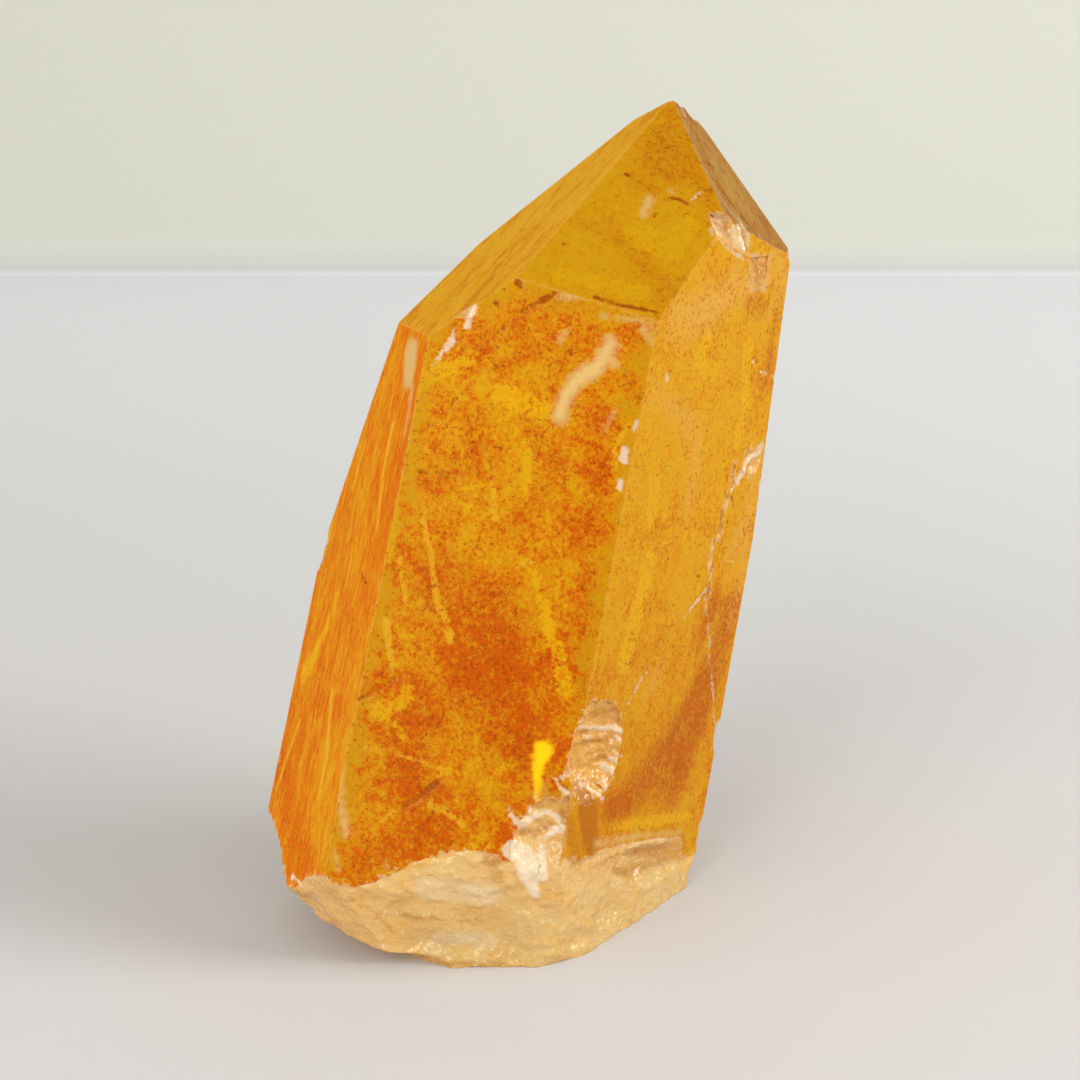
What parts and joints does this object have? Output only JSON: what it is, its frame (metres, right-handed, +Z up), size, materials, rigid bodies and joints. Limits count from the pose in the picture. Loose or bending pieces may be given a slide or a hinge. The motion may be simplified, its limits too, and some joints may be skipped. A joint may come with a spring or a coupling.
{
  "type": "golden healer quartz point",
  "caption": "Single natural quartz crystal with flat prism faces and a pointed end, leaning on its broken foot; clear with a golden iron stain; a free-standing ornament or specimen.",
  "frame": {"origin": "middle of the bounding box, on the surface that the crystal stands on", "axes": "+Z up, the crystal's long direction as it stands; -Y is the front, where the widest prism face looks; +X is to the right seen from the front"},
  "size_m": [0.0562, 0.0486, 0.0848],
  "materials": {
    "golden_quartz": "clear quartz with a golden to orange iron stain, glossy natural faces and a rough frosted foot"
  },
  "bodies": {
    "root": {"quartz_point": "golden_quartz"}
  },
  "joints": []
}
